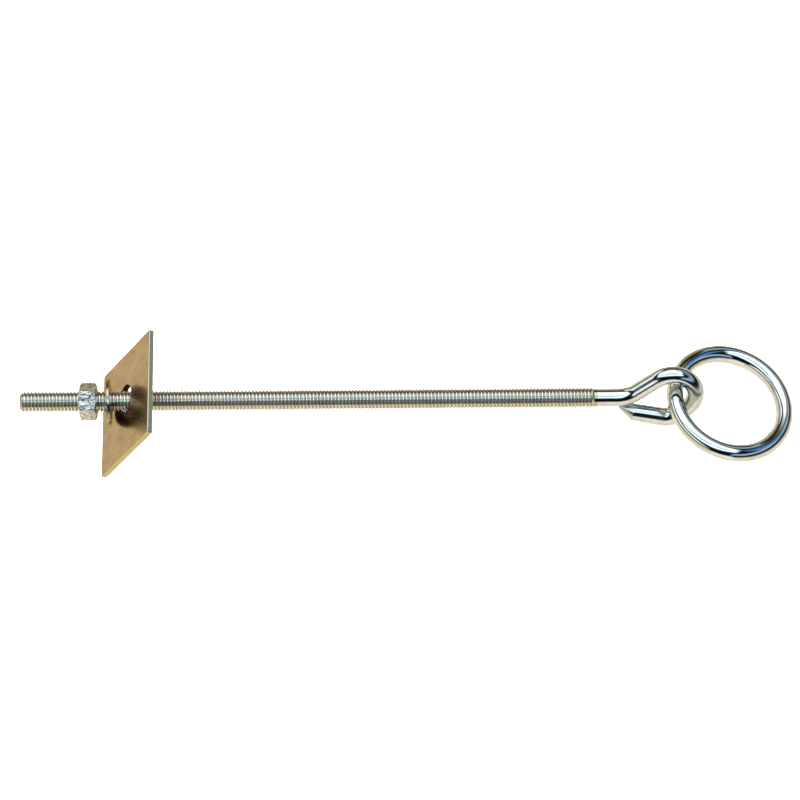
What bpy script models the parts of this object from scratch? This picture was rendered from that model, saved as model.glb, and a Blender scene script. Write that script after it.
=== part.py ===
"""A through eye bolt: a long threaded bar bent into an eye, with a welded
ring in the eye, a square backing plate, a washer and a hex nut.

World frame: the bar lies along X with its threaded end's face at the origin
and its eye at +X, and Z is up. All sizes are in metres.
"""
from math import asin, atan2, ceil, cos, hypot, pi, radians, sin, sqrt, tan

import bmesh
import bpy
from mathutils import Matrix, Vector

# Bar: one steel bar, thread rolled on one end and the eye bent on the other
OVERALL_LENGTH = 0.3048
PLAIN_LENGTH = 0.0080
PITCH = 0.0254 / 16
THREAD_RADIUS = 0.004725
THREAD_DEPTH = 0.613 * PITCH
POINT_DROP = 0.0004
SHANK_RADIUS = 0.00395

# Ring: round wire, bent and butt welded, lying through the eye
RING_RADIUS = 0.02565
RING_WIRE_RADIUS = 0.00385
RING_DIP = radians(13.8)
RING_TILT = radians(5.2)
RING_TURN = radians(-4.2)

# Eye: neck bend, straight arm, nose round the ring, then a tail tucked under the neck
EYE_ROLL = radians(25.3)
EYE_CLEARANCE = 0.0029
SEAT_CLEARANCE = 0.0013
NECK_BEND_RADIUS = 0.0138
NECK_ANGLE = radians(38.5)
ARM_LENGTH = 0.0114
NOSE_ANGLE = radians(188)
CHEEK_LENGTH = 0.0055
TAIL_BEND_RADIUS = 0.0059
TAIL_SET_BACK = 0.0073
TAIL_GAP = 0.0004
TAIL_POINT_LENGTH = 0.0064
TAIL_POINT_RISE = 0.0032
TAIL_POINT_RADIUS = 0.0007

# Hex nut on the thread
NUT_ACROSS_FLATS = 0.0149
NUT_THICKNESS = 0.0077
NUT_PLACE = 0.0305
NUT_TURN = radians(53)
NUT_CHAMFER = radians(30)
THREAD_CLEARANCE = 0.00035

# Flat washer, hanging on the thread between the nut and the plate
WASHER_RADIUS = 0.0103
WASHER_THICKNESS = 0.00165
WASHER_EDGE = 0.0002
WASHER_SLACK = 0.0004
WASHER_DROP = 0.0002
WASHER_YAW = radians(2.9)
WASHER_GAP = 0.0044

# Backing plate: square, with one hole in which it leans over on the thread
PLATE_SIDE = 0.0508
PLATE_THICKNESS = 0.0026
PLATE_LEAN = radians(28.2)
PLATE_TURN = radians(-1.4)
PLATE_EDGE = 0.0003
PLATE_CLEARANCE = 0.00024
PLATE_GAP = 0.00045
HOLE_SLIP = 0.0008
HOLE_OFFSET = 0.0022

# Fineness of the round surfaces
THREAD_STEPS = 12
ROUND_SIDES = 32
WIRE_SIDES = 16
RING_STEPS = 72
BEND_STEP = radians(9)
SMOOTH_ANGLE = radians(40)


def clear_scene():
    for obj in list(bpy.data.objects):
        bpy.data.objects.remove(obj)


def make_collection(name):
    collection = bpy.data.collections.new(name)
    bpy.context.scene.collection.children.link(collection)
    return collection


def make_material(name, colour, roughness):
    material = bpy.data.materials.new(name)
    material.use_nodes = True
    shader = material.node_tree.nodes["Principled BSDF"]
    shader.inputs["Base Color"].default_value = (*colour, 1)
    shader.inputs["Metallic"].default_value = 1
    shader.inputs["Roughness"].default_value = roughness
    material.diffuse_color = (*colour, 1)
    return material


def make_object(name, bm, collection):
    """Closes the bmesh into a new object with its faces turned outward."""
    bmesh.ops.recalc_face_normals(bm, faces=bm.faces)
    mesh = bpy.data.meshes.new(name)
    bm.to_mesh(mesh)
    bm.free()
    obj = bpy.data.objects.new(name, mesh)
    collection.objects.link(obj)
    return obj


def turned(name, profile, sides, collection):
    """A solid of revolution about X from (x, radius) points, on the axis at both ends."""
    bm = bmesh.new()
    points = [bm.verts.new((x, 0, radius)) for x, radius in profile]
    edges = [bm.edges.new(pair) for pair in zip(points, points[1:])]
    bmesh.ops.spin(bm, geom=points + edges, cent=(0, 0, 0), axis=(1, 0, 0),
                   angle=2 * pi, steps=sides, use_duplicate=False)
    bmesh.ops.remove_doubles(bm, verts=bm.verts, dist=0.00001)
    return make_object(name, bm, collection)


def threaded_rod(name, first_turn, turns, extra_radius, collection):
    """A right-hand V thread about X, a whole number of pitches from the origin."""
    crest = THREAD_RADIUS + extra_radius
    root = crest - THREAD_DEPTH
    start = first_turn * PITCH
    bm = bmesh.new()
    points = [bm.verts.new((start + share * PITCH, 0, radius))
              for share, radius in ((0, root), (0.5, crest), (1, root))]
    edges = [bm.edges.new(pair) for pair in zip(points, points[1:])]
    bmesh.ops.spin(bm, geom=points + edges, cent=(0, 0, 0), axis=(1, 0, 0),
                   angle=2 * pi * turns, steps=THREAD_STEPS * turns,
                   dvec=(PITCH / THREAD_STEPS, 0, 0), use_duplicate=False)
    bmesh.ops.remove_doubles(bm, verts=bm.verts, dist=0.00005)
    rims = [edge for edge in bm.edges if edge.is_boundary]
    bmesh.ops.holes_fill(bm, edges=rims, sides=0)
    bmesh.ops.triangulate(bm, faces=[f for f in bm.faces if len(f.verts) > 4])
    return make_object(name, bm, collection)


def bend(points, heading, radius, angle):
    """Adds an arc to an (x, height) path: a positive angle turns it clockwise."""
    side = 1 if angle > 0 else -1
    x, height = points[-1]
    centre_x = x + side * radius * sin(heading)
    centre_height = height - side * radius * cos(heading)
    steps = ceil(abs(angle) / BEND_STEP)
    for step in range(1, steps + 1):
        now = heading - angle * step / steps
        points.append((centre_x - side * radius * sin(now),
                       centre_height + side * radius * cos(now)))
    return heading - angle


def run_on(points, heading, length):
    """Adds a straight length to an (x, height) path."""
    x, height = points[-1]
    points.append((x + length * cos(heading), height + length * sin(heading)))


def bend_towards(points, heading, radius, target):
    """Adds the clockwise arc that leaves straight for the target, and the straight."""
    x, height = points[-1]
    centre_x = x + radius * sin(heading)
    centre_height = height - radius * cos(heading)
    away_x = target[0] - centre_x
    away_height = target[1] - centre_height
    distance = hypot(away_x, away_height)
    leaving = atan2(away_height, away_x) - asin(radius / distance)
    heading = bend(points, heading, radius, (heading - leaving) % (2 * pi))
    points.append(target)
    return heading


def eye_centreline():
    """The eye's (x, height) path in its own plane, its nose at the overall length.

    Returns the points and the centre of the nose bend."""
    points = [(0.0, 0.0)]
    heading = bend(points, 0.0, NECK_BEND_RADIUS, -NECK_ANGLE)
    run_on(points, heading, ARM_LENGTH)
    x, height = points[-1]
    nose_radius = SHANK_RADIUS + EYE_CLEARANCE + RING_WIRE_RADIUS
    nose_x = x + nose_radius * sin(heading)
    nose_height = height - nose_radius * cos(heading)
    heading = bend(points, heading, nose_radius, NOSE_ANGLE)
    run_on(points, heading, CHEEK_LENGTH)
    tail_end = (TAIL_SET_BACK, -2 * SHANK_RADIUS - TAIL_GAP)
    heading = bend_towards(points, heading, TAIL_BEND_RADIUS, tail_end)
    points.append((tail_end[0] - TAIL_POINT_LENGTH, tail_end[1] + TAIL_POINT_RISE))
    start = OVERALL_LENGTH - nose_x - nose_radius - SHANK_RADIUS
    return [(x + start, height) for x, height in points], (nose_x + start, nose_height)


def eye_point(x, height):
    """A world point from its place in the eye's plane."""
    rolled = Matrix.Rotation(-EYE_ROLL, 3, "X") @ Vector((0, 0, height))
    return Vector((x, rolled.y, rolled.z))


def bent_wire(name, path, radii, collection):
    """Round wire along world points, capped at both ends, as a closed mesh."""
    curve = bpy.data.curves.new(name, "CURVE")
    curve.dimensions = "3D"
    curve.bevel_depth = SHANK_RADIUS
    curve.bevel_resolution = (WIRE_SIDES - 4) // 2
    curve.use_fill_caps = True
    spline = curve.splines.new("POLY")
    spline.points.add(len(path) - 1)
    for point, place, radius in zip(spline.points, path, radii):
        point.co = (*place, 1)
        point.radius = radius / SHANK_RADIUS
    carrier = bpy.data.objects.new(name, curve)
    collection.objects.link(carrier)
    bpy.context.view_layer.update()
    mesh = bpy.data.meshes.new_from_object(
        carrier.evaluated_get(bpy.context.evaluated_depsgraph_get()))
    placed = carrier.matrix_world.copy()
    bpy.data.objects.remove(carrier)
    bm = bmesh.new()
    bm.from_mesh(mesh)
    bpy.data.meshes.remove(mesh)
    bpy.data.curves.remove(curve)
    bmesh.ops.remove_doubles(bm, verts=bm.verts, dist=0.00001)
    obj = make_object(name, bm, collection)
    obj.matrix_world = placed
    return obj


def combine(obj, cutter, operation):
    """Applies one exact Boolean to the object's mesh."""
    modifier = obj.modifiers.new(operation.title(), "BOOLEAN")
    modifier.operation = operation
    modifier.solver = "EXACT"
    modifier.object = cutter
    bpy.context.view_layer.update()
    mesh = bpy.data.meshes.new_from_object(
        obj.evaluated_get(bpy.context.evaluated_depsgraph_get()))
    obj.modifiers.remove(modifier)
    spent = obj.data
    obj.data = mesh
    bpy.data.meshes.remove(spent)


def finish_node(obj, name, material, origin=None):
    """Names a node, shades it, gives it its material and moves its origin."""
    obj.name = name
    obj.data.name = name
    if origin is not None:
        obj.data.transform(Matrix.Translation(-origin))
        obj.location = origin
    obj.data.polygons.foreach_set("use_smooth", [True] * len(obj.data.polygons))
    obj.data.set_sharp_from_angle(angle=SMOOTH_ANGLE)
    obj.data.materials.clear()
    obj.data.materials.append(material)
    return obj


def build_eye_bolt(parts, cutters):
    """Trims a long thread to a chamfered blank and joins the shank and eye to it.

    The thread ends a plain length short of the neck bend."""
    eye, _ = eye_centreline()
    thread_length = eye[0][0] - PLAIN_LENGTH
    turns = ceil(thread_length / PITCH) + 4
    obj = threaded_rod("eye_bolt", -2, turns, 0.0, parts)
    point = min(THREAD_RADIUS - THREAD_DEPTH, SHANK_RADIUS) - POINT_DROP
    wide = THREAD_RADIUS + PITCH
    blank = turned("thread_blank", [
        (0, 0),
        (0, point),
        (wide - point, wide),
        (thread_length - (wide - point), wide),
        (thread_length, point),
        (thread_length, 0),
    ], ROUND_SIDES, cutters)
    combine(obj, blank, "INTERSECT")

    path = [Vector((thread_length - back * PITCH, 0, 0)) for back in (2, 1)]
    path += [eye_point(x, height) for x, height in eye]
    radii = [point] + [SHANK_RADIUS] * (len(path) - 2) + [TAIL_POINT_RADIUS]
    shank = bent_wire("shank", path, radii, cutters)
    combine(obj, shank, "UNION")
    steel = make_material("zinc_plated_bar", (0.60, 0.63, 0.66), 0.18)
    return finish_node(obj, "eye_bolt", steel)


def ring_seat():
    """Where the ring's wire crosses the eye's plane, and how the ring lies there."""
    _, nose = eye_centreline()
    seat = eye_point(nose[0] + EYE_CLEARANCE - SEAT_CLEARANCE, nose[1])
    lie = (Matrix.Rotation(RING_DIP, 3, "Y")
           @ Matrix.Rotation(-RING_TILT, 3, "X")
           @ Matrix.Rotation(RING_TURN, 3, "Z"))
    return seat, lie


def build_ring(parts):
    """Spins the wire's section about the ring's centre, one radius from the seat."""
    seat, lie = ring_seat()
    bm = bmesh.new()
    section = bmesh.ops.create_circle(bm, segments=WIRE_SIDES, radius=RING_WIRE_RADIUS)
    upright = Matrix.Rotation(pi / 2, 3, "X")
    bmesh.ops.rotate(bm, verts=section["verts"], cent=(0, 0, 0), matrix=upright)
    bmesh.ops.spin(bm, geom=bm.verts[:] + bm.edges[:], cent=(RING_RADIUS, 0, 0),
                   axis=(0, 0, 1), angle=2 * pi, steps=RING_STEPS, use_duplicate=False)
    bmesh.ops.remove_doubles(bm, verts=bm.verts, dist=0.00001)
    obj = make_object("ring", bm, parts)
    obj.data.transform(lie.to_4x4())
    obj.location = seat
    steel = make_material("zinc_plated_ring", (0.64, 0.66, 0.68), 0.15)
    return finish_node(obj, "ring", steel)


def washer_place():
    """Where the washer's middle is along the bar, clear of the nut."""
    return NUT_PLACE + NUT_THICKNESS / 2 + WASHER_GAP + WASHER_THICKNESS / 2


def build_washer(parts, cutters):
    """Punches a disc, which hangs on the bar a little askew."""
    half = WASHER_THICKNESS / 2
    obj = turned("washer", [
        (-half, 0),
        (-half, WASHER_RADIUS - WASHER_EDGE),
        (-half + WASHER_EDGE, WASHER_RADIUS),
        (half - WASHER_EDGE, WASHER_RADIUS),
        (half, WASHER_RADIUS - WASHER_EDGE),
        (half, 0),
    ], ROUND_SIDES, parts)
    hole = turned("washer_hole", [
        (-WASHER_THICKNESS, 0),
        (-WASHER_THICKNESS, THREAD_RADIUS + WASHER_SLACK),
        (WASHER_THICKNESS, THREAD_RADIUS + WASHER_SLACK),
        (WASHER_THICKNESS, 0),
    ], ROUND_SIDES, cutters)
    combine(obj, hole, "DIFFERENCE")
    obj.data.transform(Matrix.Rotation(WASHER_YAW, 4, "Z"))
    obj.location = (washer_place(), 0, -WASHER_DROP)
    steel = make_material("zinc_plated_washer", (0.62, 0.63, 0.62), 0.25)
    return finish_node(obj, "washer", steel)


def build_backing_plate(parts, cutters):
    """Punches the hole in a square plate and leans it over on the bar.

    The hole, punched off centre, is just wide enough for the plate to lean and to slip
    sideways that far, and the plate stands clear of the washer."""
    hole_radius = (THREAD_RADIUS + PLATE_CLEARANCE
                   + PLATE_THICKNESS / 2 * sin(PLATE_LEAN)) / cos(PLATE_LEAN)
    hole_radius += HOLE_SLIP ** 2 / THREAD_RADIUS
    place = (washer_place() + WASHER_THICKNESS / 2
             + (WASHER_RADIUS + WASHER_DROP) * tan(PLATE_LEAN)
             + PLATE_THICKNESS / 2 / cos(PLATE_LEAN) + PLATE_GAP)
    bm = bmesh.new()
    bmesh.ops.create_cube(bm, size=1)
    bmesh.ops.scale(bm, verts=bm.verts, vec=(PLATE_THICKNESS, PLATE_SIDE, PLATE_SIDE))
    bmesh.ops.bevel(bm, geom=bm.edges[:], offset=PLATE_EDGE, segments=1,
                    affect="EDGES", clamp_overlap=True)
    obj = make_object("backing_plate", bm, parts)
    obj.data.transform(Matrix.Rotation(PLATE_TURN, 4, "X"))
    obj.data.transform(Matrix.Translation((0, -HOLE_OFFSET, 0)))
    hole = turned("plate_hole", [
        (-PLATE_THICKNESS, 0),
        (-PLATE_THICKNESS, hole_radius),
        (PLATE_THICKNESS, hole_radius),
        (PLATE_THICKNESS, 0),
    ], ROUND_SIDES, cutters)
    combine(obj, hole, "DIFFERENCE")
    obj.data.transform(Matrix.Rotation(PLATE_LEAN, 4, "Y"))
    obj.location = (place, HOLE_SLIP, 0)
    steel = make_material("yellow_zinc_plate", (0.55, 0.43, 0.24), 0.35)
    return finish_node(obj, "backing_plate", steel)


def build_hex_nut(parts, cutters):
    """Chamfers a hexagon between cones and taps it in step with the bar's thread."""
    corner = NUT_ACROSS_FLATS / sqrt(3)
    half = NUT_THICKNESS / 2
    face = NUT_ACROSS_FLATS / 2 * 0.96
    wide = corner * 1.1
    drop = (wide - face) * tan(NUT_CHAMFER)
    obj = turned("hex_nut", [
        (-half, 0), (-half, corner), (half, corner), (half, 0),
    ], 6, parts)
    obj.data.transform(Matrix.Rotation(NUT_TURN, 4, "X"))
    cones = turned("nut_cones", [
        (-half - 0.001, 0),
        (-half - 0.001, face),
        (-half, face),
        (-half + drop, wide),
        (half - drop, wide),
        (half, face),
        (half + 0.001, face),
        (half + 0.001, 0),
    ], ROUND_SIDES, cutters)
    combine(obj, cones, "INTERSECT")
    obj.data.transform(Matrix.Translation((NUT_PLACE, 0, 0)))
    first = int((NUT_PLACE - half) / PITCH) - 3
    turns = ceil(NUT_THICKNESS / PITCH) + 6
    tap = threaded_rod("nut_tap", first, turns, THREAD_CLEARANCE, cutters)
    combine(obj, tap, "DIFFERENCE")
    steel = make_material("zinc_plated_nut", (0.62, 0.64, 0.67), 0.25)
    return finish_node(obj, "hex_nut", steel, Vector((NUT_PLACE, 0, 0)))


def build():
    clear_scene()
    parts = make_collection("eye_bolt_with_ring")
    cutters = make_collection("cutters")
    build_eye_bolt(parts, cutters)
    build_ring(parts)
    build_backing_plate(parts, cutters)
    build_washer(parts, cutters)
    build_hex_nut(parts, cutters)
    for cutter in cutters.objects:
        cutter.hide_render = True
        cutter.display_type = "WIRE"


build()
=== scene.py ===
"""A through eye bolt: a long threaded bar with its end bent into an eye, a ring in
the eye, a square backing plate, a washer and a hex nut, all of them zinc plated.

The bar lies along X with its threaded end's face at the origin, and Z is up.
All sizes are in metres."""

import bpy
import numpy as np
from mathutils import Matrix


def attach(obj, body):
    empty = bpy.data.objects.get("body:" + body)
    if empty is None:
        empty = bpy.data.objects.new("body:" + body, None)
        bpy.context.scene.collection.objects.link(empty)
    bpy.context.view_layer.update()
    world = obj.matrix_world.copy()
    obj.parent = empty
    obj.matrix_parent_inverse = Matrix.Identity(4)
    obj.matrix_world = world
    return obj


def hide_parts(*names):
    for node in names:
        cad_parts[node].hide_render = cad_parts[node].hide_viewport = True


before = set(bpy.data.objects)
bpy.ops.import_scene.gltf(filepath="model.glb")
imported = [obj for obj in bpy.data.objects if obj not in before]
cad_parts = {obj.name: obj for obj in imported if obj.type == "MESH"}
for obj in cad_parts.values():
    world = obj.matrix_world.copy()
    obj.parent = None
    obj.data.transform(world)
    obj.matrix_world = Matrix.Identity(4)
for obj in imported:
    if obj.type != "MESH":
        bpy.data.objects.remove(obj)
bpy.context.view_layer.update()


# ---- Bar ---------------------------------------------------------------------
# One drawn steel rod: the thread is rolled on it, so it stands proud of the plain
# rod, the eye is bent cold round the ring and its tail is drawn out to a point.
# Then the whole bar is bright zinc plated.

PITCH = 0.0254 / 16
THREAD_CREST = 0.00470
THREAD_ROOT = 0.00405
THREAD_LENGTH = 0.25798
END_FACE_RADIUS = 0.00340
ROD_RADIUS = 0.00391
NECK_START = 0.265977
EYE_ROLL = np.radians(25.3)
BAR_SIDES = 36
# The thread runs out over its last two turns, at this fall in radius for each length
RUN_OUT_START = THREAD_LENGTH - 2 * PITCH
RUN_OUT_SLOPE = 0.9
# Share of a pitch and share of the thread's depth, from one root to the next
THREAD_SHAPE = np.array([(0.00, 0.00), (0.08, 0.02), (0.13, 0.07), (0.31, 0.90),
                         (0.37, 0.99), (0.50, 1.00), (0.63, 0.99), (0.69, 0.90),
                         (0.87, 0.07), (0.92, 0.02)])
# Eye, from the neck on: length of each straight, or radius of each bend and its
# angle in degrees, clockwise positive
EYE_RUNS = ((0.0138, -38.5), (0.0114, 0), (0.0107, 188), (0.0055, 0),
            (0.0059, 41.84), (0.013677, 0))
EYE_STEP = 0.0006
# Tail: drawn out to a blunt point that lifts towards the neck, as the point's reach
# back and up, then share of that reach and share of the rod's radius
TAIL_REACH = np.array([-0.0064, 0.0032])
TAIL_SHAPE = ((0.06, 0.97), (0.5, 0.60), (0.93, 0.24), (0.985, 0.16), (1.0, 0.0))
# Points that round to the same place at this size are one
SAME_PLACE = 1e-7


def smooth_surface(name, grid, sharp=40):
    """A closed surface through a (rows, columns, 3) array of points: each point is
    joined to its neighbours in the next row and column, points in one place are
    made one, and triangles that shrink to a line are left out. Edges that turn by
    more than the sharp angle, in degrees, stay crisp."""
    rows, columns = grid.shape[:2]
    index = np.arange(rows * columns).reshape(rows, columns)
    quads = np.stack([index[:-1, :-1], index[:-1, 1:], index[1:, 1:], index[1:, :-1]], -1)
    quads = quads.reshape(-1, 4)
    points = grid.reshape(-1, 3)
    _, first, merged = np.unique(np.round(points / SAME_PLACE).astype(np.int64), axis=0,
                                 return_index=True, return_inverse=True)
    quads = merged.reshape(-1)[quads]
    faces = np.concatenate([quads[:, [0, 1, 2]], quads[:, [0, 2, 3]]])
    whole = ((faces[:, 0] != faces[:, 1]) & (faces[:, 1] != faces[:, 2])
             & (faces[:, 0] != faces[:, 2]))
    faces = faces[whole]
    mesh = bpy.data.meshes.new(name)
    mesh.vertices.add(len(first))
    mesh.vertices.foreach_set("co", points[first].astype(np.float32).ravel())
    mesh.loops.add(faces.size)
    mesh.loops.foreach_set("vertex_index", faces.astype(np.int32).ravel())
    mesh.polygons.add(len(faces))
    mesh.polygons.foreach_set("loop_start", np.arange(0, faces.size, 3, dtype=np.int32))
    mesh.update(calc_edges=True)
    mesh.polygons.foreach_set("use_smooth", np.ones(len(faces), bool))
    mesh.set_sharp_from_angle(angle=np.radians(sharp))
    piece = bpy.data.objects.new(name, mesh)
    bpy.context.scene.collection.objects.link(piece)
    return piece


def bent_path(runs, step):
    """Points and headings along straights (length, 0) and bends (radius, angle):
    the chords of equal steps, each at its own middle heading, added end to end."""
    chords = []
    middles = []
    heading = 0.0
    for size, angle in runs:
        turn = np.radians(angle)
        length = abs(size * turn) if angle else size
        count = max(1, int(np.ceil(length / step)))
        chord = 2 * size * np.sin(abs(turn) / count / 2) if angle else size / count
        chords.append(np.full(count, chord))
        middles.append(heading - turn * (np.arange(count) + 0.5) / count)
        heading -= turn
    chords = np.concatenate(chords)
    middles = np.concatenate(middles)
    steps = np.stack([chords * np.cos(middles), chords * np.sin(middles)], 1)
    points = np.concatenate([np.zeros((1, 2)), np.cumsum(steps, 0)])
    ends = np.concatenate([[0.0], (middles[:-1] + middles[1:]) / 2, [heading]])
    return points, ends


def thread_grid():
    """Rows along the thread's helix, from the end face to the plain rod.

    x = (whole turns + share of a pitch at this row + angle / full turn) * pitch, held
    between the thread's ends; radius = root + depth * the row's share of it, held
    inside the end's chamfer, the run-out and, past its last half pitch, the rod."""
    per_pitch = len(THREAD_SHAPE)
    turns = int(np.ceil(THREAD_LENGTH / PITCH)) + 2
    row = np.arange(-per_pitch, turns * per_pitch + 1)[:, None]
    turn = np.linspace(0, 1, BAR_SIDES + 1)[None, :]
    share, height = THREAD_SHAPE[row[:, 0] % per_pitch].T
    x = np.clip((row // per_pitch + share[:, None] + turn) * PITCH, 0, THREAD_LENGTH)
    radius = THREAD_ROOT + (THREAD_CREST - THREAD_ROOT) * height[:, None] + 0 * turn
    radius = np.minimum(radius, END_FACE_RADIUS + x)
    run_out = THREAD_CREST - RUN_OUT_SLOPE * (x - RUN_OUT_START)
    run_out = np.maximum(ROD_RADIUS, run_out)
    radius = np.where(x > RUN_OUT_START, np.minimum(radius, run_out), radius)
    radius = np.where(x > THREAD_LENGTH - PITCH / 2, ROD_RADIUS, radius)
    angle = 2 * np.pi * turn
    return np.stack([x, -radius * np.sin(angle), radius * np.cos(angle)], -1)


def eye_grid():
    """The rod's round section carried along the eye's path in its rolled plane.

    point = centre + radius * (cos a * the path's normal + sin a * the plane's normal),
    and over the tail the radius falls from the rod's own to nothing."""
    path, heading = bent_path(EYE_RUNS, EYE_STEP)
    radius = np.full(len(path), ROD_RADIUS)
    along_tail, share = np.array(TAIL_SHAPE).T
    path = np.concatenate([path, path[-1] + along_tail[:, None] * TAIL_REACH])
    heading = np.append(heading, np.full(len(share), heading[-1]))
    radius = np.append(radius, ROD_RADIUS * share)
    up = np.array([0, np.sin(EYE_ROLL), np.cos(EYE_ROLL)])
    across = np.array([0, -np.cos(EYE_ROLL), np.sin(EYE_ROLL)])
    along = np.array([1.0, 0, 0])
    centre = path[:, :1] * along + path[:, 1:] * up + NECK_START * along
    normal = np.cos(heading)[:, None] * up - np.sin(heading)[:, None] * along
    angle = np.linspace(0, 2 * np.pi, BAR_SIDES + 1) + EYE_ROLL
    section = (np.cos(angle)[None, :, None] * normal[:, None]
               + np.sin(angle)[None, :, None] * across)
    return centre[:, None] + radius[:, None, None] * section


def node(tree, kind, links=(), **settings):
    """Adds a node. Settings name its properties, or its inputs by number as in_0;
    links give (input, output socket) pairs."""
    made = tree.nodes.new(kind)
    for key, value in settings.items():
        if key.startswith("in_"):
            made.inputs[int(key[3:])].default_value = value
        else:
            setattr(made, key, value)
    for target, source in links:
        tree.links.new(source, made.inputs[target])
    return made


def colour(code):
    """A linear colour from its sRGB hex code."""
    value = np.array([int(code[i:i + 2], 16) for i in (0, 2, 4)]) / 255
    linear = np.where(value <= 0.04045, value / 12.92, ((value + 0.055) / 1.055) ** 2.4)
    return (*linear, 1.0)


def ramp(tree, source, stops):
    """A colour ramp over (position, hex code) stops."""
    made = node(tree, "ShaderNodeValToRGB", [(0, source)])
    band = made.color_ramp
    while len(band.elements) < len(stops):
        band.elements.new(1.0)
    for element, (place, code) in zip(band.elements, stops):
        element.position = place
        element.color = colour(code)
    return made.outputs[0]


def zinc_plate(name, base, cloud, roughness, grain, dents, width=0.0007):
    """Bright zinc plate over steel mirrors the room, but not evenly: its colour and
    its gloss cloud over in patches as wide as the grain, where the colour goes from
    the base to the cloud, and its face has dents as deep and as wide as given."""
    material = bpy.data.materials.new(name)
    material.use_nodes = True
    tree = material.node_tree
    shader = tree.nodes["Principled BSDF"]
    shader.inputs["Metallic"].default_value = 1
    place = node(tree, "ShaderNodeTexCoord").outputs["Object"]
    clouds = node(tree, "ShaderNodeTexNoise", [("Vector", place)], in_2=1 / grain, in_3=4)
    tint = ramp(tree, clouds.outputs["Fac"], ((0.35, cloud), (0.65, base)))
    tree.links.new(tint, shader.inputs["Base Color"])
    cloudy = 1.3 * roughness
    clear = 0.8 * roughness
    gloss = node(tree, "ShaderNodeMapRange", [(0, clouds.outputs["Fac"])],
                 in_1=0.3, in_2=0.7, in_3=cloudy, in_4=clear)
    tree.links.new(gloss.outputs[0], shader.inputs["Roughness"])
    pits = node(tree, "ShaderNodeTexNoise", [("Vector", place)], in_2=1 / width, in_3=2)
    bump = node(tree, "ShaderNodeBump", [("Height", pits.outputs["Fac"])],
                in_0=1.0, in_1=dents)
    tree.links.new(bump.outputs[0], shader.inputs["Normal"])
    return material


def shade_thread_roots(material):
    """Painted shade down in the thread: mixes a darker straw colour into the colour
    from just under the crests to the roots, as far as the thread goes, for the
    shade that falls in the roots."""
    shade_top = THREAD_CREST - 0.0002
    tree = material.node_tree
    shader = tree.nodes["Principled BSDF"]
    bright = shader.inputs["Base Color"].links[0].from_socket
    place = node(tree, "ShaderNodeTexCoord").outputs["Object"]
    along = node(tree, "ShaderNodeSeparateXYZ", [(0, place)]).outputs[0]
    section = node(tree, "ShaderNodeVectorMath", [(0, place)], operation="MULTIPLY",
                   in_1=(0, 1, 1)).outputs[0]
    reach = node(tree, "ShaderNodeVectorMath", [(0, section)], operation="LENGTH").outputs[1]
    depth = node(tree, "ShaderNodeMapRange", [(0, reach)],
                 in_1=shade_top, in_2=THREAD_ROOT).outputs[0]
    threaded = node(tree, "ShaderNodeMath", [(0, along)], operation="LESS_THAN",
                    in_1=THREAD_LENGTH - PITCH / 2).outputs[0]
    root_shade = node(tree, "ShaderNodeMath", [(0, depth), (1, threaded)],
                operation="MULTIPLY").outputs[0]
    # Painted shade: a darker straw colour is mixed in towards the thread's roots.
    mixed = node(tree, "ShaderNodeMix", [(0, root_shade), (6, bright)], data_type="RGBA",
                 in_7=colour("B4AA8E")).outputs[2]
    tree.links.new(mixed, shader.inputs["Base Color"])


bar_zinc = zinc_plate("bright_zinc_on_rolled_bar", "D6D8DA", "C4C8C8",
                      roughness=0.10, grain=0.004, dents=2e-6)
shade_thread_roots(bar_zinc)

thread = thread_grid()
face_centre = np.zeros((1, BAR_SIDES + 1, 3))
face_rim = thread[:1]
bar = smooth_surface("bar", np.concatenate([face_centre, face_rim, thread, eye_grid()]))
bar.data.materials.append(bar_zinc)
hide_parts("eye_bolt")
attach(bar, "eye_bolt")


# ---- Ring --------------------------------------------------------------------
# Round steel wire, coiled, cut, butt welded and ground, then bright zinc plated. It
# hangs in the eye's nose and lies nearly flat. The seat is the middle of its wire
# there; the dip, tilt and turn are how it lies.

RING_RADIUS = 0.02565
RING_WIRE = 0.00379
RING_SEAT = np.array([0.29175, 0.0007362, 0.0015575])
RING_DIP = np.radians(13.8)
RING_TILT = np.radians(5.2)
RING_TURN = np.radians(-4.2)
RING_STEPS = 192
WIRE_SIDES = 40


def turning(axis, angle):
    """The 3x3 matrix that turns by an angle about the x, y or z axis."""
    c, s = np.cos(angle), np.sin(angle)
    return {"x": np.array([[1, 0, 0], [0, c, -s], [0, s, c]]),
            "y": np.array([[c, 0, s], [0, 1, 0], [-s, 0, c]]),
            "z": np.array([[c, -s, 0], [s, c, 0], [0, 0, 1]])}[axis]


def ring_grid():
    """A ring of radius R in wire of radius r, through the seat: at angle a round the
    ring and b round the wire, the centre R along x plus (R + r cos b) (cos a, sin a),
    at height r sin b, and then turned to how it lies."""
    a = np.linspace(0, 2 * np.pi, RING_STEPS + 1)[:, None]
    b = np.linspace(0, 2 * np.pi, WIRE_SIDES + 1)[None, :]
    reach = RING_RADIUS + RING_WIRE * np.cos(b)
    flat = np.stack([RING_RADIUS + reach * np.cos(a), reach * np.sin(a),
                     RING_WIRE * np.sin(b) + 0 * a], -1)
    lie = turning("y", RING_DIP) @ turning("x", -RING_TILT) @ turning("z", RING_TURN)
    return flat @ lie.T + RING_SEAT


ring_zinc = zinc_plate("bright_zinc_on_ground_ring", "DCDEDF", "CACDCE",
                       roughness=0.05, grain=0.006, dents=1e-6)
ring = smooth_surface("ring_of_wire", ring_grid())
ring.data.materials.append(ring_zinc)
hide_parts("ring")
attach(ring, "ring")


# ---- Backing plate -----------------------------------------------------------
# A square sheared from steel strip and punched, then yellow zinc plated. Its faces
# keep the strip's rolled grain, and its cut edges are plain and a little rounded. It
# leans over on the thread; its place is the hole's middle.

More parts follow.
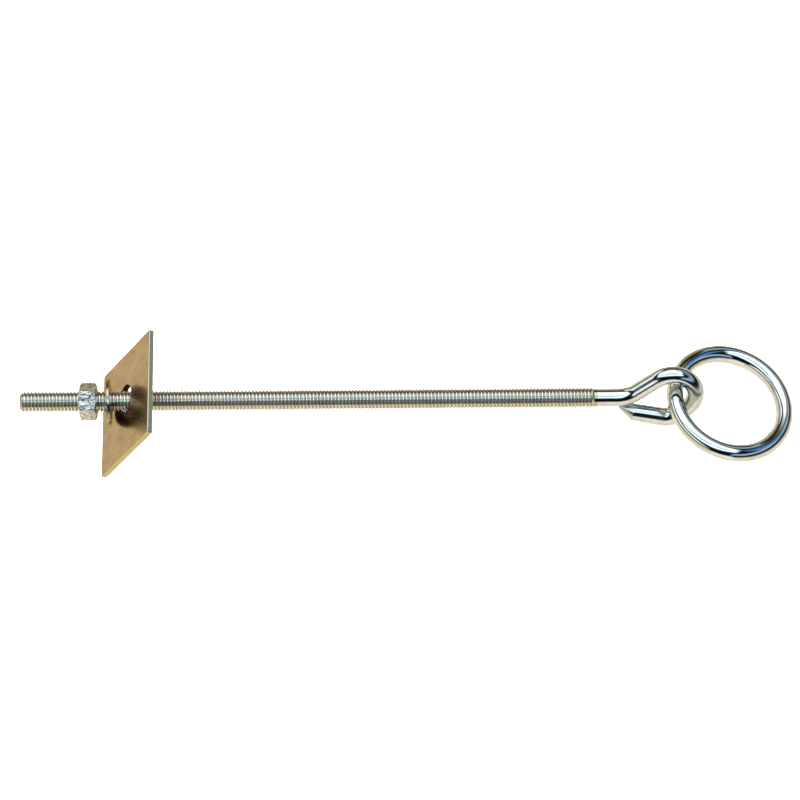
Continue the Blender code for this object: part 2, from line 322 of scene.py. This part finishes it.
PLATE_SIDE = 0.0508
PLATE_THICKNESS = 0.0026
PLATE_LEAN = np.radians(28.2)
PLATE_TURN = np.radians(-1.4)
PLATE_PLACE = np.array([0.0479551, 0.0008, 0.0])
PLATE_HOLE = 0.006466
HOLE_OFFSET = 0.0022
PLATE_CORNER = 0.0005
PLATE_ROUND = 0.0004
# Angles just short of a corner, which round it finely enough
CORNER_STEPS = np.array([0.03, 0.02, 0.012, 0.006])
SIDE_STEPS = 19


def plate_grid():
    """The plate's section, from the hole's wall out over both faces and back: each
    row is the hole's circle or the square outline at one height, with the circle let
    out and the outline drawn in towards the faces, to round the edges.

    The outline at angle a is half the side / max(|cos a|, |sin a|) from the plate's
    own centre, with its corners rounded, and the hole lies off that centre."""
    corner = np.pi / 4
    near = np.concatenate([np.linspace(-corner, corner, SIDE_STEPS),
                           corner - CORNER_STEPS, CORNER_STEPS - corner])
    angle = np.unique(np.round(np.concatenate([near + quarter * np.pi / 2
                                               for quarter in range(4)]), 6))
    angle = np.append(angle[angle < angle[0] + 2 * np.pi - 1e-5], angle[0] + 2 * np.pi)
    away = np.stack([np.cos(angle), np.sin(angle)], -1)
    half = PLATE_SIDE / 2
    edge = away * half / abs(away).max(1)[:, None]
    inner = half - PLATE_CORNER
    past = np.clip(abs(edge) - inner, 0, None)
    pull = PLATE_CORNER / np.maximum(np.linalg.norm(past, axis=1), 1e-9)[:, None]
    rounded = (past.min(1) > 0)[:, None]
    edge = np.where(rounded, np.sign(edge) * (inner + past * pull), edge)
    outward = np.where(rounded, np.sign(edge) * past * pull / PLATE_CORNER,
                       np.sign(edge) * (abs(edge) >= half - 1e-9))
    spin = turning("x", PLATE_TURN)[1:, 1:].T
    edge = edge @ spin - np.array([HOLE_OFFSET, 0])
    outward = outward @ spin
    rim = away * PLATE_HOLE
    top = PLATE_THICKNESS / 2
    bend = top - 0.3 * PLATE_ROUND
    side = top - PLATE_ROUND
    profile = ((0, 0.0, rim, away), (-side, 0.0, rim, away), (-bend, 0.3, rim, away),
               (-top, 1.0, rim, away), (-top, -1.0, edge, outward),
               (-bend, -0.3, edge, outward), (-side, 0.0, edge, outward),
               (side, 0.0, edge, outward), (bend, -0.3, edge, outward),
               (top, -1.0, edge, outward), (top, 1.0, rim, away),
               (bend, 0.3, rim, away), (side, 0.0, rim, away), (0, 0.0, rim, away))
    flat = np.stack([np.concatenate([np.full((len(angle), 1), height),
                                     line + normal * shift * PLATE_ROUND], 1)
                     for height, shift, line, normal in profile])
    return flat @ turning("y", PLATE_LEAN).T + PLATE_PLACE


def yellow_plate():
    """Yellow passivated zinc over rolled strip: a soft sheen, broken by a grain 0.4 mm
    wide and 9 mm long, drawn as coarse as it needs to show, and by 8 mm patches. The
    cut edges are bare of the yellow film and paler, with a pale gold that is a painted
    warm reflection, and the punched hole's torn wall is dull and painted near black,
    a painted shade down in the hole."""
    grain_size = (0.002, 0.0004, 0.009)
    patch_size = 0.008
    face = PLATE_THICKNESS / 2
    cut_depth = (face - 0.0001, face - 0.00002)
    wall_reach = (PLATE_HOLE + 0.0003, PLATE_HOLE + 0.0001)
    material = bpy.data.materials.new("yellow_zinc_on_rolled_strip")
    material.use_nodes = True
    tree = material.node_tree
    shader = tree.nodes["Principled BSDF"]
    shader.inputs["Metallic"].default_value = 1
    place = node(tree, "ShaderNodeTexCoord").outputs["Object"]
    level = node(tree, "ShaderNodeMapping", [(0, place)], vector_type="TEXTURE",
                 in_1=PLATE_PLACE, in_2=(0, PLATE_LEAN, 0)).outputs[0]
    apart = node(tree, "ShaderNodeSeparateXYZ", [(0, level)]).outputs
    stretched = node(tree, "ShaderNodeMapping", [(0, level)],
                     in_3=[1 / size for size in grain_size]).outputs[0]
    grain = node(tree, "ShaderNodeTexNoise", [("Vector", stretched)], in_2=1, in_3=4)
    patches = node(tree, "ShaderNodeTexNoise", [("Vector", level)],
                   in_2=1 / patch_size, in_3=5)
    mixed = node(tree, "ShaderNodeMath", [(0, grain.outputs[0]), (1, patches.outputs[0])],
                 operation="ADD")
    mean = node(tree, "ShaderNodeMath", [(0, mixed.outputs[0])],
                operation="MULTIPLY", in_1=0.5).outputs[0]
    tint = ramp(tree, mean, ((0.35, "8E7350"), (0.5, "A38A60"), (0.65, "B09870")))
    depth = node(tree, "ShaderNodeMath", [(0, apart[0])], operation="ABSOLUTE").outputs[0]
    on_edge = node(tree, "ShaderNodeMapRange", [(0, depth)],
                   in_1=cut_depth[0], in_2=cut_depth[1], in_3=1.0, in_4=0.0).outputs[0]
    # The cut edges are bare of the yellow film and paler; their pale gold is a painted warm
    # reflection.
    base = node(tree, "ShaderNodeMix", [(0, on_edge), (6, tint)], data_type="RGBA",
                in_7=colour("C4B794")).outputs[2]
    across = node(tree, "ShaderNodeVectorMath", [(0, level)], operation="MULTIPLY",
                  in_1=(0, 1, 1)).outputs[0]
    reach = node(tree, "ShaderNodeVectorMath", [(0, across)], operation="LENGTH").outputs[1]
    in_hole = node(tree, "ShaderNodeMapRange", [(0, reach)],
                   in_1=wall_reach[0], in_2=wall_reach[1]).outputs[0]
    # Painted shade: the hole's wall is coloured near black for the shade down in the hole.
    base = node(tree, "ShaderNodeMix", [(0, in_hole), (6, base)], data_type="RGBA",
                in_7=colour("2B271E")).outputs[2]
    tree.links.new(base, shader.inputs["Base Color"])
    gloss = node(tree, "ShaderNodeMapRange", [(0, mixed.outputs[0])],
                 in_1=0.7, in_2=1.3, in_3=0.28, in_4=0.20)
    rough = node(tree, "ShaderNodeMix", [(0, in_hole), (2, gloss.outputs[0])],
                 in_3=0.6).outputs[0]
    tree.links.new(rough, shader.inputs["Roughness"])
    bump = node(tree, "ShaderNodeBump", [("Height", grain.outputs[0])], in_0=1.0, in_1=4e-6)
    tree.links.new(bump.outputs[0], shader.inputs["Normal"])
    return material


plate = smooth_surface("plate", plate_grid(), sharp=12)
plate.data.materials.append(yellow_plate())
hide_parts("backing_plate")
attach(plate, "backing_plate")


# ---- Washer ------------------------------------------------------------------
# A flat washer blanked from thin strip, where each cut edge is rolled over on the
# side that the punch came from and keeps a small burr on the other, then zinc plated
# in a barrel, which leaves it duller. It hangs on the thread.

WASHER_RADIUS = 0.0103
WASHER_HOLE = 0.005125
WASHER_THICKNESS = 0.00165
WASHER_YAW = np.radians(2.9)
WASHER_PLACE = np.array([0.039575, 0.0, -0.0002])
WASHER_ROLL = 0.00035
WASHER_BURR = 0.00012
WASHER_SIDES = 96


def washer_grid():
    """The washer's section turned round its axis: rows from the hole's wall over one
    face, the outer edge, the other face and back to the hole's wall."""
    angle = np.linspace(0, 2 * np.pi, WASHER_SIDES + 1)
    thick = WASHER_THICKNESS / 2
    roll = WASHER_ROLL
    bend = 0.3 * roll
    burr = WASHER_BURR
    hole = WASHER_HOLE
    edge = WASHER_RADIUS
    profile = ((0, hole), (-thick + burr, hole), (-thick, hole + burr), (-thick, edge - roll),
               (-thick + bend, edge - bend), (-thick + roll, edge), (thick - burr, edge),
               (thick, edge - burr), (thick, hole + roll), (thick - bend, hole + bend),
               (thick - roll, hole), (0, hole))
    x, radius = np.array(profile).T[:, :, None]
    flat = np.stack([x + 0 * angle, -radius * np.sin(angle), radius * np.cos(angle)], -1)
    return flat @ turning("z", WASHER_YAW).T + WASHER_PLACE


washer_zinc = zinc_plate("barrel_zinc_on_blanked_washer", "C0B8A2", "8E8870",
                         roughness=0.18, grain=0.002, dents=2e-5)
washer = smooth_surface("flat_washer", washer_grid(), sharp=30)
washer.data.materials.append(washer_zinc)
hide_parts("washer")
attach(washer, "washer")


# ---- Hex nut -----------------------------------------------------------------
# A hexagon cold formed from rod, which leaves its flats uneven, chamfered on both
# faces, countersunk and tapped, then bright zinc plated. It runs on the bar's thread.

NUT_FLATS = 0.0149
NUT_THICKNESS = 0.0077
NUT_PLACE = 0.0305
NUT_TURN = np.radians(53)
NUT_CHAMFER = np.radians(30)
NUT_FACE_SHARE = 0.965
NUT_SINK = 0.0054
NUT_SINK_SLOPE = 1.2
NUT_LEAD = 0.0012
NUT_EDGE = 0.00012
NUT_GAP = 0.00030
NUT_CORNER_POWER = 34
NUT_SIDES = 288
NUT_THREAD_ROWS = 61


def nut_grid():
    """Rows from the tapped hole over the front face, the flats and the back face.

    The first corner is at angle 0. The hexagon is half the flats over the largest of
    the six cosines of the angle from each flat's middle, taken as the root of the sum
    of their high powers, which rounds the corners. Its chamfer falls by tan(chamfer)
    times how far that is outside the face's circle. The hole's radius rises and falls
    evenly by the thread's depth once a pitch, a gap clear of the bar's thread."""
    angle = np.linspace(0, 2 * np.pi, NUT_SIDES + 1)
    middles = np.radians([[30], [90], [150], [210], [270], [330]])
    cosines = np.maximum(np.cos(angle - middles), 0)
    half = NUT_THICKNESS / 2
    face = NUT_FLATS / 2 * NUT_FACE_SHARE
    largest = (cosines ** NUT_CORNER_POWER).sum(0) ** (1 / NUT_CORNER_POWER)
    hexagon = NUT_FLATS / 2 / largest
    fall = (hexagon - face) * np.tan(NUT_CHAMFER)
    one = np.ones_like(angle)
    front = [(-half * one, NUT_SINK * one), (-half * one, face * one),
             (-half + fall, hexagon), (-half + fall + NUT_EDGE, hexagon)]
    back = [(-x, radius) for x, radius in reversed(front)]
    lead = half - NUT_LEAD
    x = np.linspace(lead, -lead, NUT_THREAD_ROWS)[:, None] + 0 * angle
    phase = ((x + NUT_PLACE) / PITCH - (angle + NUT_TURN) / (2 * np.pi)) % 1
    depth = (THREAD_CREST - THREAD_ROOT) * (1 - abs(2 * phase - 1))
    hole = THREAD_ROOT + NUT_GAP + depth
    hole = np.maximum(hole, NUT_SINK - NUT_SINK_SLOPE * (half - abs(x)))
    rows = front + back + list(zip(x, hole)) + front[:1]
    x = np.stack([row[0] for row in rows])
    radius = np.stack([row[1] for row in rows])
    turn = angle + NUT_TURN
    return np.stack([NUT_PLACE + x, -radius * np.sin(turn), radius * np.cos(turn)], -1)


nut_zinc = zinc_plate("bright_zinc_on_formed_nut", "D3D5D2", "A6A9A8",
                      roughness=0.08, grain=0.0016, dents=1.5e-3, width=0.0022)
nut = smooth_surface("nut", nut_grid(), sharp=25)
nut.data.materials.append(nut_zinc)
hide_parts("hex_nut")
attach(nut, "hex_nut")


# ---- Table and studio --------------------------------------------------------
# A matt white table that carries the plate's lower edge and the ring's low side, the
# two places where the bolt rests, so it slopes a little against the level bar. A
# square soft light hangs over it, and the bright metal mirrors the room.

REST_PLATE = np.array([0.0361, 0.0, -0.0234])
REST_RING = np.array([0.3410, 0.0, -0.01474])
TABLE_GAP = 0.0001
TABLE_REACH = 3.0
WHITE = "F4F4F2"
LAMP_SIDE = 2.4
LAMP_PLACE = (0.17, 0.0, 1.8)
LAMP_POWER = 300
ROOM_STRENGTH = 2.0
# In the room that the metal mirrors: how fast the light's sides close in along x, how
# far along x it ends for each height, and which way the blue patch lies
LIGHT_CLOSING = 2.4
LIGHT_ENDS = (0.70, 0.80)
LIGHT_SHIFT = 0.10
LIGHT_LOWEST = 0.35
BLUE_WAY = (0.73, 0.21, 0.65)
BLUE_RIM = (1.005, 1.03)
MOTTLE_SCALE = 14.0
MOTTLE_DEPTH = 0.08
CAMERA_DISTANCE = 1.4
CAMERA_HEIGHT = np.radians(64.3)
CAMERA_ROLL = np.radians(0.45)
CAMERA_LENS = 141.4
CAMERA_SENSOR = 36
CAMERA_NEAREST = 0.05
CAMERA_AIM = np.array([0.1693, -0.00036, -0.00017])


def table_grid():
    """A square with one corner at each sign of x and y. Its height goes in a straight
    line along x from one rest to the other, a hair's gap below both."""
    slope = (REST_RING[2] - REST_PLATE[2]) / (REST_RING[0] - REST_PLATE[0])
    x = np.array([[-TABLE_REACH, TABLE_REACH], [-TABLE_REACH, TABLE_REACH]])
    y = np.array([[-TABLE_REACH, -TABLE_REACH], [TABLE_REACH, TABLE_REACH]])
    z = REST_PLATE[2] + slope * (x - REST_PLATE[0]) - TABLE_GAP
    return np.stack([x, y, z], -1)


table = smooth_surface("table", table_grid())
paint = bpy.data.materials.new("matt_white_board")
paint.use_nodes = True
board = paint.node_tree.nodes["Principled BSDF"]
board.inputs["Base Color"].default_value = colour(WHITE)
board.inputs["Roughness"].default_value = 0.9
table.data.materials.append(paint)
table.visible_glossy = False

lamp = bpy.data.lights.new("soft_box", "AREA")
lamp.shape = "SQUARE"
lamp.size = LAMP_SIDE
lamp.energy = LAMP_POWER
soft_box = bpy.data.objects.new("soft_box", lamp)
soft_box.location = LAMP_PLACE
soft_box.visible_glossy = False
bpy.context.scene.collection.objects.link(soft_box)


def room():
    """What the metal mirrors, by direction. Round the bar's axis, from the far
    horizon over the top to the near one, lie a tan wall, a dark gap, the soft light,
    a black gap and the pale room in front; past the ends of the light the colour goes
    by height, with a blue patch high on the right. Where the room itself is seen past
    the table's edge, it is as white as the table."""
    world = bpy.data.worlds.new("studio")
    world.use_nodes = True
    tree = world.node_tree
    sky = tree.nodes["Background"]
    way = node(tree, "ShaderNodeTexCoord").outputs["Generated"]
    x, y, z = node(tree, "ShaderNodeSeparateXYZ", [(0, way)]).outputs

    def maths(operation, *values):
        made = node(tree, "ShaderNodeMath", operation=operation)
        for socket, value in zip(made.inputs, values):
            if isinstance(value, (int, float)):
                socket.default_value = value
            else:
                tree.links.new(value, socket)
        return made.outputs[0]

    def blend(share, below, above):
        made = node(tree, "ShaderNodeMix", [(0, share)], data_type="RGBA")
        for socket, value in ((6, below), (7, above)):
            if isinstance(value, str):
                made.inputs[socket].default_value = colour(value)
            else:
                tree.links.new(value, made.inputs[socket])
        return made.outputs[2]

    def between(value, start, end):
        made = node(tree, "ShaderNodeMapRange", [(0, value)],
                    in_1=start, in_2=end, interpolation_type="SMOOTHSTEP")
        return made.outputs[0]

    # Degrees up from the far horizon: a straight lamp's sides close in towards its
    # ends, so y is let out with x squared
    spread = maths("MULTIPLY", maths("MULTIPLY", x, x), LIGHT_CLOSING)
    spread = maths("ADD", spread, 1.0)
    around = maths("ARCTAN2", z, maths("MULTIPLY", y, spread))
    around = maths("FRACT", maths("ADD", maths("DIVIDE", around, 2 * np.pi), 0.25))
    degrees = ((-90, "B4AB91"), (-50, "A69C7C"), (-15, "91876B"), (10, "736A52"),
               (20, "3F3828"), (25, "110E07"), (33, "110E07"), (37, "5B5B54"),
               (43, "9FA19F"), (49, "FFFFFF"), (84, "F4F8FC"), (91, "DCE8EE"),
               (97, "87A8AF"), (103, "91B1B8"), (109, "E4F8FC"), (121, "E4F6FA"),
               (129, "4F676E"), (136, "071317"), (150, "010406"), (163, "040A0E"),
               (171, "262D2F"), (176, "7C7A75"), (182, "D2C7B9"), (205, "D0C6B2"),
               (235, "C2B9A3"), (269, "B4AB91"))
    round_bar = ramp(tree, around, [((place + 90) / 360, code) for place, code in degrees])
    # Height from 0 straight down to 1 straight up
    height = maths("MULTIPLY", maths("ADD", z, 1.0), 0.5)
    left = ramp(tree, height, ((0.38, "C2B9A3"), (0.50, "9C9373"), (0.60, "69654F"),
                               (0.65, "14120C"), (0.68, "D2DADC"), (0.76, "E6ECEE"),
                               (0.79, "100E08"), (0.93, "161818")))
    right = ramp(tree, height, ((0.38, "BFB6A3"), (0.48, "797767"), (0.54, "0E1517"),
                                (0.66, "0C1315"), (0.71, "8093A1"), (0.79, "8093A1"),
                                (0.83, "030607"), (0.93, "0C1113")))
    ends = blend(between(x, -0.1, 0.1), left, right)
    # The blue patch is where the direction is near the patch's own, with a mottled rim
    patch = maths("ADD", maths("MULTIPLY", x, BLUE_WAY[0]), maths("MULTIPLY", y, BLUE_WAY[1]))
    patch = maths("ADD", patch, maths("MULTIPLY", z, BLUE_WAY[2]))
    mottle = node(tree, "ShaderNodeTexNoise", [("Vector", way)],
                  in_2=MOTTLE_SCALE, in_3=3.0)
    patch = maths("ADD", patch, maths("MULTIPLY", mottle.outputs[0], MOTTLE_DEPTH))
    ends = blend(between(patch, *BLUE_RIM), ends, "416B9F")
    # How far along x the direction leads for each height
    beside = maths("DIVIDE", x, maths("MAXIMUM", z, LIGHT_LOWEST))
    beside = maths("ABSOLUTE", maths("ADD", beside, LIGHT_SHIFT))
    light = blend(between(beside, *LIGHT_ENDS), round_bar, ends)
    seen = node(tree, "ShaderNodeLightPath").outputs["Is Camera Ray"]
    light = blend(seen, light, WHITE)
    sky.inputs["Strength"].default_value = ROOM_STRENGTH
    tree.links.new(light, sky.inputs["Color"])
    return world


scene = bpy.context.scene
scene.world = room()
scene.view_settings.view_transform = "Standard"

lens = bpy.data.cameras.new("camera")
lens.sensor_width = CAMERA_SENSOR
lens.lens = CAMERA_LENS
lens.clip_start = CAMERA_NEAREST
camera = bpy.data.objects.new("camera", lens)
back = np.array([0, -np.cos(CAMERA_HEIGHT), np.sin(CAMERA_HEIGHT)])
level_up = np.array([0, np.sin(CAMERA_HEIGHT), np.cos(CAMERA_HEIGHT)])
level_right = np.array([1.0, 0, 0])
right = np.cos(CAMERA_ROLL) * level_right - np.sin(CAMERA_ROLL) * level_up
up = np.sin(CAMERA_ROLL) * level_right + np.cos(CAMERA_ROLL) * level_up
pose = np.eye(4)
pose[:3, :3] = np.stack([right, up, back], 1)
pose[:3, 3] = CAMERA_AIM + back * CAMERA_DISTANCE
camera.matrix_world = pose.T.tolist()
scene.collection.objects.link(camera)
scene.camera = camera
